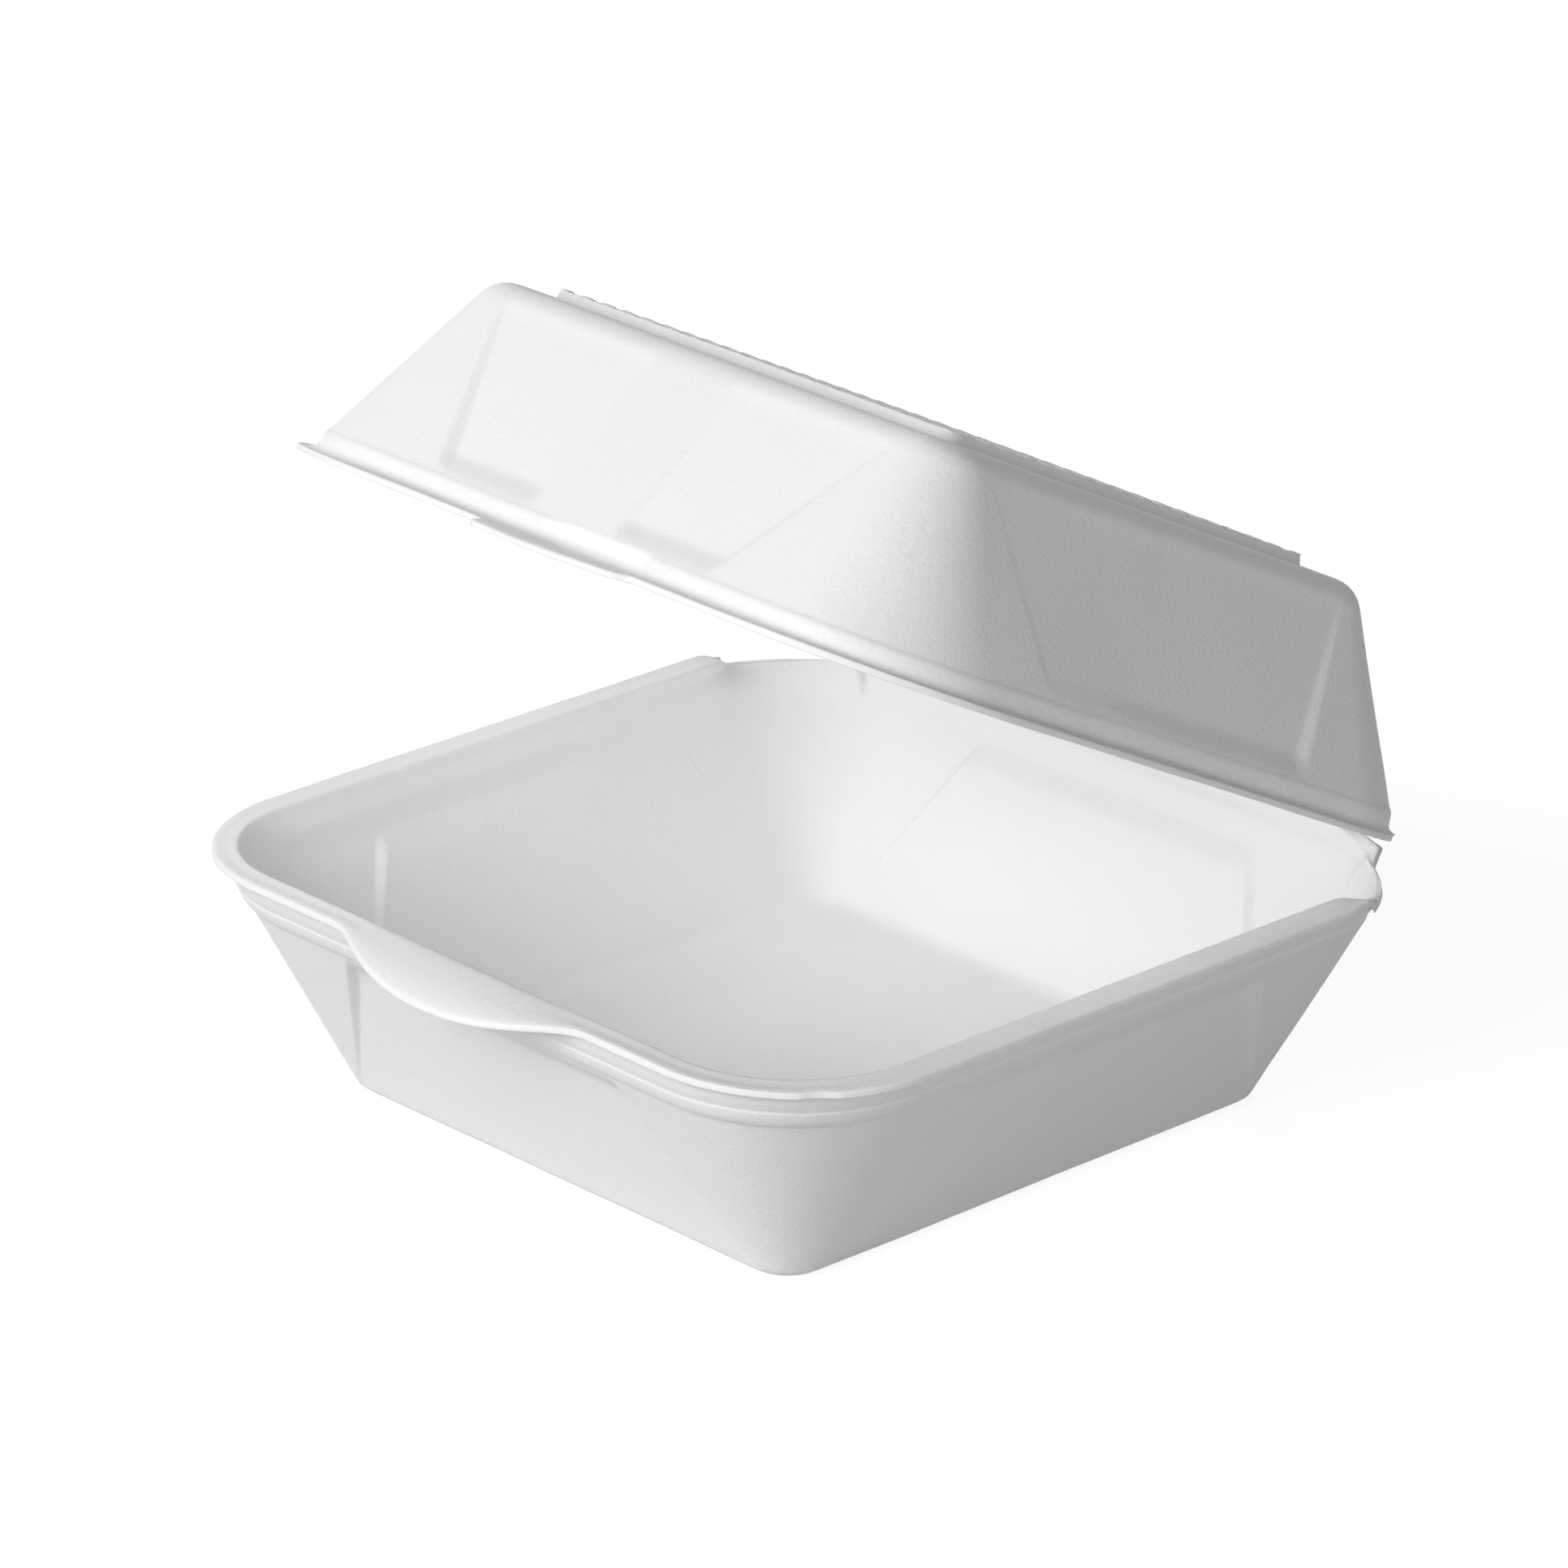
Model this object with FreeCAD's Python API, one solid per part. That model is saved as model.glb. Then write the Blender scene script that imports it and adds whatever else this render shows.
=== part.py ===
import FreeCAD, Part
import math
import os

from FreeCAD import Vector

os.makedirs("parts", exist_ok=True)

# Hinged clamshell food container in moulded foam sheet, lid ajar.
# X runs along the fold at the back, -Y is the front with the finger tab, Z is up.
# The origin is the middle of the tray's flat base. Millimetres and degrees.

# Main sizes
width = 152.4           # over the side flanges
depth = 151.7           # from the front flange's edge to the fold
tray_h = 42.2           # height of the tray's flange face
lid_h = 38.0            # from the lid's flange face to the border of its top
lid_open = 26.6         # how far the lid stands ajar

# Foam sheet
foam = 2.0              # wall of tray and lid
floor_foam = 2.2        # flat floor of the tray and flat top of the lid
flange_foam = 1.1       # pressed flange
play = 0.3              # gap between the halves at the flange and at the fold

# Walls: every side leans by the same draft, so all corner rounds share one centre
tray_draft = 0.535      # run per millimetre of height
lid_draft = 0.524
wall_corner = 25.0      # corner radius where the walls meet the swollen band
base_round = 2.4        # soft edge between base and walls
lid_round = 4.5         # soft edge round the lid's top
inner_round = 3.0       # soft edge inside, round the floor

# Flange overhang beyond the walls
over_side = 5.4
over_front = 4.1
over_back = 1.2
lid_over = 5.2
lid_over_back = 0.9
lid_flange_corner = 33.0

# Rim, measured from the flange face
rim_stack = 8.2         # tray: flange, neck and band above the walls
rim_crest = 4.4         # tray: crest of the band
lid_stack = 5.1
lid_crest = 2.5
swell = 2.6             # how far the band stands out from the wall line
band_foot = 0.7         # height over which the band swells out
neck_cut = 0.8          # neck inset from the crest
neck_step = 0.3
lid_swell = 0.9
lid_neck = 0.3
rim_w = 6.0             # side flange and rim, edge to mouth
mouth_drop = 3.0        # upright step inside the mouth

# Raised field on the lid's top, in a shallow dish
field_in = 8.8          # from the border edge to the field
field_corner = 3.0
field_rise = 2.0
field_flank = 1.2
dish_drop = 0.8
dish_run = 3.0
dish_corner = 8.0

# Pressed-in wall panels: flush at the flat face, deepest beside the band
panel_depth = 1.65
panel_facet = 1.9       # run of the slanted facet beside a panel
panel_gap = 0.5         # wall left between a panel and the band
panel_in_rim = 39.8     # from the corner of the walls to the panel, beside the band
panel_in_base = 4.6     # the same at the tray's base
panel_in_top = 7.9      # the same at the lid's top
rear_panel_more = 3.0   # the tray's rear panel is wider beside the band
strip_half = 8.8        # proud strip up the middle of the lid's front

# Fold at the back and lowered lip round the two back corners
fold_in = 15.2          # from the side flange's edge to the end of the fold
fold_slant = 5.0
ear_in = 27.2           # from the fold to where the side flange drops to the lip
ear_run = 4.2
lip_in = 2.1            # the lip keeps this far from the fold line
lip_corner = 30.0
tray_lip_drop = 3.5
lid_lip_drop = 0.85

# Finger tabs at the front
tab_half = 28.5
tab_reach = 7.9
tab_droop = 3.1
lid_tab_half = 17.0
lid_tab_reach = 4.0
lid_tab_droop = 1.25
lid_tab_x = 4.0

# Sizes that follow
flange_x = width / 2.0
wall_top_z = tray_h - rim_stack
tray_run = tray_draft * wall_top_z
wall_x = flange_x - over_side
wall_y = (depth - over_front - over_back) / 2.0
base_x = wall_x - tray_run
base_y = wall_y - tray_run
flange_front = wall_y + over_front
hinge_y = wall_y + over_back
flange_back = hinge_y - play / 2.0
mid_plane = tray_h + play / 2.0
lid_run = lid_draft * (lid_h - lid_stack)
lid_wall_x = flange_x - lid_over
lid_wall_y = (flange_front - lid_over + hinge_y - lid_over_back) / 2.0
lid_mid = hinge_y - lid_over_back - lid_wall_y
fold_half = flange_x - fold_in
fold_foot = fold_half - fold_slant
ear_y = hinge_y - ear_in
lip_back = hinge_y - lip_in


def plan(x, front, back, corner, z):
    """Rounded rectangle in a level plane, from -front to +back in Y."""
    c = corner * math.sin(math.radians(45.0))
    d = corner - c
    pts = [
        (x, -front + corner), (x, back - corner),
        (x - corner, back), (-x + corner, back),
        (-x, back - corner), (-x, -front + corner),
        (-x + corner, -front), (x - corner, -front),
    ]
    mids = [(x - d, back - d), (-x + d, back - d), (-x + d, -front + d), (x - d, -front + d)]
    p = [Vector(a, b, z) for a, b in pts]
    m = [Vector(a, b, z) for a, b in mids]
    edges = []
    for k in range(4):
        edges.append(Part.makeLine(p[2 * k], p[2 * k + 1]))
        edges.append(Part.Arc(p[2 * k + 1], m[k], p[(2 * k + 2) % 8]).toShape())
    return Part.Wire(edges)


def stack(half_x, half_y, mid_y, corner, rows):
    """Solid through level outlines, from the bottom up; each row is (offset, height)."""
    wires = []
    for out, z in rows:
        wires.append(plan(half_x + out, half_y - mid_y + out, half_y + mid_y + out,
                          corner + out, z))
    return Part.makeLoft(wires, True, True)


def slab(outline, z0, z1):
    """Upright prism over a plan (x, front, back, corner)."""
    face = Part.Face(plan(*outline, z0))
    return face.extrude(Vector(0, 0, z1 - z0))


def soft_rows(out, z, draft, radius, steps):
    """Rows round a soft edge between a level face at (out, z) and a wall above it."""
    lean = math.atan(draft)
    turn = math.pi / 2.0 - lean
    reach = radius * math.tan(turn / 2.0)
    rows = []
    for k in range(steps + 1):
        a = turn * k / steps
        rows.append((out - reach + radius * math.sin(a), z + radius * (1.0 - math.cos(a))))
    return rows


def polyhedron(points, faces):
    shells = []
    for f in faces:
        ring = [points[k] for k in f]
        shells.append(Part.Face(Part.makePolygon(ring + ring[:1])))
    return Part.makeSolid(Part.makeShell(shells))


def wedge(wall, left, right, reach, inset=0.0, rise=0.0):
    """Pressed-in panel of one wall: nothing deep at the flat end, deepest at the rim end.

    wall: (turn, flat distance, flat z, rim distance, rim z); left and right: edge
    positions along the wall as (flat end, rim end, facet run); reach: how far the
    wedge goes on outside the wall; inset moves it inwards and rise lengthens it.
    """
    turn, d0, z0, d1, z1 = wall

    def at(f, w, side):
        u = side[0] + (side[1] - side[0]) * f - side[2] * w / panel_depth
        d = d0 + (d1 - d0) * f - w - inset
        v = Vector(d, u, z0 + (z1 - z0) * f)
        return FreeCAD.Rotation(Vector(0, 0, 1), turn).multVec(v)

    low = -reach / panel_depth
    top = 1.0 + rise
    pts = [
        at(low, -reach, left), at(low, -reach, right),
        at(top, -reach, left), at(top, -reach, right),
        at(top, panel_depth * top, left), at(top, panel_depth * top, right),
    ]
    faces = [(0, 1, 3, 2), (0, 4, 5, 1), (0, 2, 4), (1, 5, 3), (2, 3, 5, 4)]
    return polyhedron(pts, faces)


def panel_set(walls, thick):
    """Solids pressed into the outside and, thickened by the sheet, into the inside."""
    outer = []
    inner = []
    for wall, spans in walls:
        length = abs(wall[4] - wall[2])
        for left, right in spans:
            outer.append(wedge(wall, left, right, 0.4))
            inner.append(wedge(wall, left, right, thick / 2.0, thick, foam * 0.8 / length))
    return outer, inner


def wall_ring(half_x, half_y, run, z_flat, z_rim):
    """Right, left, front and back wall lines for the panels."""
    ring = []
    for turn, half in ((0.0, half_x), (180.0, half_x), (-90.0, half_y), (90.0, half_y)):
        ring.append((turn, half - run, z_flat, half, z_rim))
    return ring


def mirrored_span(flat, rim):
    return [((-flat, -rim, -panel_facet), (flat, rim, panel_facet))]


def split_span(flat, rim, strip):
    """Two panels either side of a proud strip."""
    right = ((strip, strip, -panel_facet), (flat, rim, panel_facet))
    left = ((-flat, -rim, -panel_facet), (-strip, -strip, panel_facet))
    return [left, right]


def relief(z_lip, z_face, sign):
    """Notch over both back corners, open above the lowered lip; sign +1 faces up."""
    top = z_face + sign * 1.0
    over = abs(top - z_lip) / abs(z_face - z_lip)
    far_x = flange_x + 10.0
    far_y = hinge_y + 10.0
    cuts = []
    for mirror in (1.0, -1.0):
        wires = []
        for z, f in ((z_lip, 0.0), (top, over)):
            x0 = fold_foot + (fold_half - fold_foot) * f
            y0 = ear_y + ear_run * (1.0 - f)
            ring = [
                Vector(mirror * x0, y0, z), Vector(mirror * far_x, y0, z),
                Vector(mirror * far_x, far_y, z), Vector(mirror * x0, far_y, z),
            ]
            wires.append(Part.makePolygon(ring + ring[:1]))
        cuts.append(Part.makeLoft(wires, True, True))
    return cuts


def corner_lips(z_lip, z_face, sign, mouth):
    """Lowered lip round the back corners with a ramp up to each side flange."""
    t = flange_foam
    z0, z1 = sorted((z_lip, z_lip - sign * t))
    ring = slab((flange_x, flange_front, lip_back, lip_corner), z0, z1)
    z2, z3 = sorted((z_face, z_lip - sign * t))
    edge = slab((flange_x, flange_front, lip_back, lip_corner), z2 - 1.0, z3 + 1.0)
    hole = slab(mouth, z2 - 2.0, z3 + 2.0)
    out = []
    for mirror in (1.0, -1.0):
        x0, x1 = sorted((mirror * fold_foot, mirror * (flange_x + 5.0)))
        block = Part.makeBox(x1 - x0, hinge_y, t + 2.0, Vector(x0, ear_y + ear_run, z0 - 1.0))
        out.append(ring.common(block).cut(hole))
        profile = [
            Vector(x0, ear_y - 0.5, z_face), Vector(x0, ear_y, z_face),
            Vector(x0, ear_y + ear_run + 0.5, z_lip),
            Vector(x0, ear_y + ear_run + 0.5, z_lip - sign * t),
            Vector(x0, ear_y - 0.5, z_face - sign * t),
        ]
        ramp = Part.Face(Part.makePolygon(profile + profile[:1])).extrude(Vector(x1 - x0, 0, 0))
        out.append(ramp.common(edge).cut(hole))
    return out


def tab(half, centre, root, reach, droop, z_face, sign):
    """Finger tab: a curved pressed sheet trimmed to a swept outline."""
    tip = root + reach
    start = root - 2.0
    run = tip - start + 1.0
    mid_y = -(start + run / 2.0)
    pts_top = (
        Vector(0, -start, z_face),
        Vector(0, mid_y, z_face - droop * 0.25),
        Vector(0, -(start + run), z_face - droop),
    )
    shift = Vector(0, 0, -sign * flange_foam)
    pts_low = tuple(p + shift for p in pts_top)
    profile = Part.Wire([
        Part.Arc(*pts_top).toShape(),
        Part.makeLine(pts_top[2], pts_low[2]),
        Part.Arc(*reversed(pts_low)).toShape(),
        Part.makeLine(pts_low[0], pts_top[0]),
    ])
    sheet = Part.Face(profile).extrude(Vector(2.0 * half + 4.0, 0, 0))
    sheet.translate(Vector(centre - half - 2.0, 0, 0))
    z0 = z_face - droop - 4.0
    outline = []
    for mirror in (1.0, -1.0):
        curve = Part.BezierCurve()
        curve.setPoles([
            Vector(centre + mirror * half, -root + 0.2, z0),
            Vector(centre + mirror * half * 0.84, -root - reach * 0.06, z0),
            Vector(centre + mirror * half * 0.62, -tip, z0),
            Vector(centre, -tip, z0),
        ])
        outline.append(curve.toShape())
    back = [
        Vector(centre + half, -root + 0.2, z0), Vector(centre + half, -start, z0),
        Vector(centre - half, -start, z0), Vector(centre - half, -root + 0.2, z0),
    ]
    lines = [Part.makeLine(back[k], back[k + 1]) for k in range(3)]
    wire = Part.Wire(Part.__sortEdges__(outline + lines))
    return sheet.common(Part.Face(wire).extrude(Vector(0, 0, droop + 10.0)))


def fuse_all(first, others):
    return first.multiFuse(others).removeSplitter()


def make_tray():
    thick = foam * math.hypot(1.0, tray_draft)
    under = tray_h - flange_foam
    neck = swell - neck_cut
    crest = tray_h - rim_crest
    centre = (wall_x, wall_y, 0.0, wall_corner)
    body = stack(*centre, soft_rows(-tray_run, 0.0, tray_draft, base_round, 2) + [
        (0.0, wall_top_z),
        (swell * 0.3, wall_top_z + band_foot),
        (swell, crest),
        (neck, crest + neck_step),
        (neck, tray_h),
    ])
    behind = Part.makeBox(4.0 * width, depth, 3.0 * tray_h, Vector(-2.0 * width, flange_back, -tray_h))
    body = body.cut(behind)
    flange = slab((flange_x, flange_front, flange_back, wall_corner + over_front), under, tray_h)

    side = mirrored_span(base_y - panel_in_base, wall_y - panel_in_rim)
    front = mirrored_span(base_x - panel_in_base, wall_x - panel_in_rim)
    rear = mirrored_span(base_x - panel_in_base, wall_x - panel_in_rim + rear_panel_more)
    ring = wall_ring(wall_x, wall_y, tray_run, 0.0, wall_top_z - panel_gap)
    outer, inner = panel_set(list(zip(ring, (side, side, front, rear))), thick)

    mouth = over_side - rim_w
    hollow = stack(*centre, soft_rows(tray_draft * floor_foam - tray_run - thick, floor_foam,
                                      tray_draft, inner_round, 1) + [
        (-thick, wall_top_z),
        (mouth, tray_h - mouth_drop),
        (mouth, tray_h + 2.0),
    ])
    hollow = hollow.cut(inner[0].multiFuse(inner[1:]))
    z_lip = tray_h - tray_lip_drop
    shell = body.cut(outer[0].multiFuse(outer[1:]))
    shell = shell.fuse(flange)
    cuts = relief(z_lip, tray_h, 1.0)
    shell = shell.cut(cuts[0].fuse(cuts[1]))
    opening = (wall_x + mouth, wall_y + mouth, wall_y + mouth, wall_corner + mouth)
    extra = corner_lips(z_lip, tray_h, 1.0, opening)
    extra.append(tab(tab_half, 0.0, flange_front, tab_reach, tab_droop, tray_h, 1.0))
    shell = fuse_all(shell, extra)
    return shell.cut(hollow)


def make_lid():
    """Lid in its shut place over the tray, then swung open on the fold."""
    rim = mid_plane + play / 2.0
    z0 = rim + lid_stack
    z1 = rim + lid_h
    thick = foam * math.hypot(1.0, lid_draft)
    neck = lid_swell - lid_neck
    centre = (lid_wall_x, lid_wall_y, lid_mid, wall_corner)
    crown = soft_rows(-lid_run, 0.0, lid_draft, lid_round, 2)
    body = stack(*centre, [
        (neck, rim),
        (neck, rim + lid_crest - neck_step),
        (lid_swell, rim + lid_crest),
        (0.0, z0),
    ] + [(out, z1 - z) for out, z in reversed(crown)])
    behind = Part.makeBox(4.0 * width, depth, 3.0 * lid_h, Vector(-2.0 * width, flange_back, rim - lid_h))
    body = body.cut(behind)
    flange = slab((flange_x, flange_front, flange_back, lid_flange_corner), rim, rim + flange_foam)

    top_x = lid_wall_x - lid_run
    top_y = lid_wall_y - lid_run
    dish = stack(top_x - lid_round, top_y - lid_round, lid_mid, dish_corner, [
        (-dish_run, z1 - dish_drop),
        (0.0, z1),
        (0.0, z1 + 1.0),
    ])
    field = stack(top_x - field_in, top_y - field_in, lid_mid, field_corner, [
        (field_flank, z1 - dish_drop - 0.2),
        (0.0, z1 + field_rise),
    ])

    side = mirrored_span(top_y - panel_in_top, lid_wall_y - panel_in_rim)
    rear = mirrored_span(top_x - panel_in_top, lid_wall_x - panel_in_rim)
    front = split_span(top_x - panel_in_top, lid_wall_x - panel_in_rim, strip_half)
    ring = wall_ring(lid_wall_x, lid_wall_y, lid_run, z1, z0 + panel_gap)
    outer, inner = panel_set(list(zip(ring, (side, side, front, rear))), thick)
    for piece in outer + inner:
        piece.translate(Vector(0, lid_mid, 0))

    ceiling = z1 - floor_foam
    mouth = lid_over - rim_w
    hollow = stack(*centre, [
        (mouth, rim - 2.0),
        (mouth, rim + mouth_drop),
        (-thick, z0),
        (lid_draft * floor_foam - lid_run - thick, ceiling),
    ])
    hollow = hollow.cut(inner[0].multiFuse(inner[1:]))
    pocket = stack(top_x - field_in, top_y - field_in, lid_mid, field_corner, [
        (0.0, ceiling - 0.5),
        (-foam / 2.0, z1 + field_rise - floor_foam),
    ])

    z_lip = rim + lid_lip_drop
    shell = body.cut(outer[0].multiFuse(outer[1:]))
    shell = shell.fuse(flange)
    cuts = relief(z_lip, rim, -1.0)
    shell = shell.cut(cuts[0].fuse(cuts[1]))
    opening = (lid_wall_x + mouth, lid_wall_y - lid_mid + mouth, lid_wall_y + lid_mid + mouth,
               wall_corner + mouth)
    extra = corner_lips(z_lip, rim, -1.0, opening)
    extra.append(tab(lid_tab_half, lid_tab_x, flange_front, lid_tab_reach, lid_tab_droop,
                     rim, -1.0))
    shell = fuse_all(shell, extra)
    shell = shell.cut(dish).fuse(field)
    lid = shell.cut(hollow).cut(pocket)
    lid.rotate(Vector(0, hinge_y, mid_plane), Vector(-1, 0, 0), lid_open)
    return lid


def main():
    for name, shape in (("tray", make_tray()), ("lid", make_lid())):
        shape = shape.removeSplitter()
        print(name, len(shape.Solids), shape.isValid(), round(shape.Volume, 1), shape.BoundBox)
        shape.exportStep("parts/" + name + ".step")


main()
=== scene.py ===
import math

import bmesh
import bpy
import numpy as np
from mathutils import Matrix, Vector


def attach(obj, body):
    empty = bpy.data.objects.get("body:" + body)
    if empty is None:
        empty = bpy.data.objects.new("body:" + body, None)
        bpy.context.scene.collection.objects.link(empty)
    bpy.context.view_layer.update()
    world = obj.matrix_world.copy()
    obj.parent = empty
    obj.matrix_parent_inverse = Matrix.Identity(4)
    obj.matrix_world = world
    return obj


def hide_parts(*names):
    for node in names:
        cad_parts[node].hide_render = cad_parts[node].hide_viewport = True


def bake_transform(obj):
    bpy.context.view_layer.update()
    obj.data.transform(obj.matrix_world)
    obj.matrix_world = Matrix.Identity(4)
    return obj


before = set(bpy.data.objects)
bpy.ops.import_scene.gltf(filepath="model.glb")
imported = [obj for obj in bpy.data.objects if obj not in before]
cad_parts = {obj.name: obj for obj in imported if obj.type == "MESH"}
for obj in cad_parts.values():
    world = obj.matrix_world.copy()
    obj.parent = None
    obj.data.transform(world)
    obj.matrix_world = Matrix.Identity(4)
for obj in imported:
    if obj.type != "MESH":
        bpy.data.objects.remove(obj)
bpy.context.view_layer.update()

# Foam clamshell container, lid ajar. Millimetres here, metres in the scene.
MM = 0.001

# Main sizes
width = 152.4
depth = 151.7
tray_h = 42.2
lid_h = 38.0
lid_open = 26.6         # degrees from shut to ajar
foam = 2.0
floor_foam = 2.2
flange_foam = 1.1
play = 0.3              # between the two flanges when shut

# Flange outline and fold
hinge_y = 74.4
flange_x = width / 2
flange_front = depth - hinge_y
flange_back = hinge_y - play / 2
mid_plane = tray_h + play / 2
fold_half = 61.0
left_sag = 0.7          # the tray's left flange hangs down by this much

# Tray's corners, relieved beside the fold
ear_y = hinge_y - 27.2  # here the rim of each side starts to drop
ear_run = 5.2
right_ear = 5.5         # the right ear ends this much further back
lip_back = hinge_y - 2.1
lip_corner = 30.0
right_lip = 3.5         # the right lip turns this much tighter
lip_inset = 0.6
inner_fold_lead = 9.0   # inside, the drop starts this much nearer the middle of the fold
inner_fold_run = 17.0
inner_ear_lead = 8.0    # and this much before the ear
inner_ear_run = ear_run + 14.0

# Small irregularities
mouth_tight = 4.6       # tighter turn of the tray's mouth at its left front corner
mouth_tight_depth = 4.2
chip_depth = 0.55
chip_start = 1.68       # stations round the front right corner
chip_end = 1.95
scoop_left = -3.0       # finger scoop in the lid's band
scoop_right = 20.0
scoop_depth = 1.5

# Lid's top: a shallow dish round a raised field of knobs
dome = 0.973            # the lid's dome has settled to this share of its moulded height
dish_inset = 4.5
dish_corner = 5.0
field_inset = 8.8
field_top = 39.7
field_corner = 3.0
recess_inset = 10.4     # the field's hollow, inside the lid
recess_rise = 2.0
knob_margin = 1.5       # from the field's edge to the first knobs
knob_height = 0.22

# Pressed-in panels
strip_half = 8.8        # half the strip between the lid's two front panels
fade_height = 4.0       # a panel fades out over this height above the band
fade_run = 34.0         # a faint panel gets its full depth over this length
groove = 0.28           # half width of a scored line
end_stations = 9        # stations across a panel's sloping end
end_margin = 0.2

# Web behind the fold
web_inset = 4.0
web_inner = 0.5
web_outer = 0.8

# Each half, with heights from the flange's face towards the closed side.
#   mid, x, y, corner: middle of the walls along y, their half sizes at the rim, corner radius
#   draft, flat, top: lean of the walls, height of the closed side, height of the band
#   edge_round, inner_round: radius of the closed side's soft edge, outside and inside
#   band, inside: rows of the rim, outside and inside, as (out from the walls, height)
#   edge, face: rows of the flange's back with its edge, and of its face, as (share, height),
#       where the share runs from neck or mouth to the edge
#   neck, mouth: start of the flange's back and of its face, out from the walls
#   flange_corner, lip_drop: radius of the flange's corners, drop of the rim beside the fold
#   tab: half width, middle, reach and droop of the finger tab
#   side, rear, front: how far in a panel ends, at the closed side and at the rim
#   split: half the strip that parts the front panel, or 0 for one panel
#   press, facet, crease: depth of the panels, width and softness of their sloping ends
# The last four are for single half sides, numbered as in HALVES:
#   faint: share of the depth that is left at the panel's end
#   shorter: how much further in the panel ends at the rim
#   tight: how much tighter the flange's corner turns
#   score: depth of a line scored along the panel's end, as a share of press
TRAY = dict(
    name="tray_shell", body="tray", mid=0.0, x=70.8, y=73.2, corner=25.0,
    draft=0.535, flat=tray_h, top=8.2, edge_round=2.4, inner_round=3.2,
    band=[(0.0, 8.2), (0.5, 7.8), (0.95, 7.35), (1.3, 6.8), (1.62, 6.2), (1.88, 5.6), (2.05, 5.2),
          (2.12, 4.95), (2.1, 4.78), (2.14, 4.62), (2.35, 4.3), (2.75, 3.6), (3.2, 2.6), (3.6, 1.5)],
    edge=[(0.3, 1.12), (0.6, 1.12), (0.85, 1.12), (0.96, 1.1), (0.99, 1.04), (1.0, 0.92),
          (0.998, 0.7), (0.99, 0.45), (0.975, 0.22), (0.955, 0.08)],
    neck=3.8, mouth=-0.6, flange_corner=29.1, lip_drop=2.6,
    face=[(0.93, 0.02), (0.9, 0.0), (0.82, -0.02), (0.72, 0.02), (0.6, 0.08), (0.5, 0.13),
          (0.4, 0.13), (0.28, 0.08), (0.15, 0.02), (0.05, 0.06)],
    inside=[(-0.62, 0.28), (-0.7, 0.65), (-0.74, 1.1), (-0.78, 1.6), (-0.86, 2.1), (-1.05, 2.5),
            (-1.45, 3.0), (-1.85, 3.5), (-2.2, 4.1), (-2.32, 4.5), (-2.3, 5.6), (-2.27, 7.2)],
    tab=(28.5, 0.0, 7.9, 3.1),
    side=(4.6, 39.8), rear=(4.6, 36.8), front=(4.6, 39.8), split=0.0,
    press=1.75, facet=1.1, crease=0.35, faint={3: 0.1}, shorter={2: 4.2},
    tight={4: 1.9, 5: 1.9}, score={0: 0.1, 1: 0.1, 2: 0.1, 6: 0.28, 7: 0.28},
)
LID = dict(
    name="lid_shell", body="lid", mid=0.75, x=71.0, y=72.75, corner=25.0,
    draft=0.524, flat=lid_h, top=5.1, edge_round=6.0, inner_round=4.0,
    band=[(0.02, 5.1), (0.22, 4.9), (0.44, 4.6), (0.62, 4.1), (0.74, 3.5), (0.82, 2.9),
          (0.9, 2.4), (1.02, 2.0), (1.2, 1.7), (1.5, 1.45), (2.1, 1.24)],
    edge=[(0.3, 1.1), (0.6, 1.1), (0.85, 1.1), (0.95, 1.08), (0.985, 0.98), (1.0, 0.8),
          (1.0, 0.55), (1.0, 0.3), (0.995, 0.12)],
    neck=2.6, mouth=-0.8, flange_corner=33.0, lip_drop=0.4,
    face=[(0.985, 0.02), (0.95, 0.0), (0.85, 0.0), (0.7, 0.0), (0.5, 0.0), (0.3, 0.0), (0.12, 0.0),
          (0.04, 0.06)],
    inside=[(-0.8, 0.25), (-0.95, 0.8), (-1.0, 1.8), (-1.1, 2.6), (-1.4, 3.1), (-1.9, 3.8),
            (-2.15, 4.6)],
    tab=(17.0, 4.0, 4.0, 1.25),
    side=(7.9, 39.8), rear=(7.9, 39.8), front=(7.9, 39.8), split=strip_half,
    press=1.5, facet=1.9, crease=0.6, faint={4: 0.25, 7: 0.25}, shorter={},
    tight={0: 2.0, 1: 2.0}, score={},
)

# Rows of the lid's top, as (out, height): the raised field's edge, then the dish round it
FIELD_EDGE = [(-0.5, field_top), (0.0, 39.68), (0.1, 39.62), (0.17, 39.46), (0.6, 38.1),
              (0.95, 37.5), (1.15, 37.28), (1.5, 37.2)]
DISH_EDGE = [(-2.6, 37.2), (-2.0, 37.3), (-1.2, 37.6), (-0.5, 37.88), (0.3, 38.0)]

# Eight half sides, anticlockwise from the middle of the right side. Each has the outward
# normal, the way to its corner, 1 where a row runs to that corner or -1 where it comes
# from it, and the name of its side.
HALVES = [
    ((1, 0), (0, 1), 1, "side"), ((0, 1), (1, 0), -1, "rear"),
    ((0, 1), (-1, 0), 1, "rear"), ((-1, 0), (0, 1), -1, "side"),
    ((-1, 0), (0, -1), 1, "side"), ((0, -1), (-1, 0), -1, "front"),
    ((0, -1), (1, 0), 1, "front"), ((1, 0), (0, -1), -1, "side"),
]
# Half sides beside the corners that differ from the others
RIGHT_REAR = (0, 1)
LEFT_FRONT = (4, 5)
CHIPPED = 7


def smooth(v):
    """Soft step from 0 to 1 as v goes from 0 to 1."""
    v = np.clip(v, 0.0, 1.0)
    return v * v * (3.0 - 2.0 * v)


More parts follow.
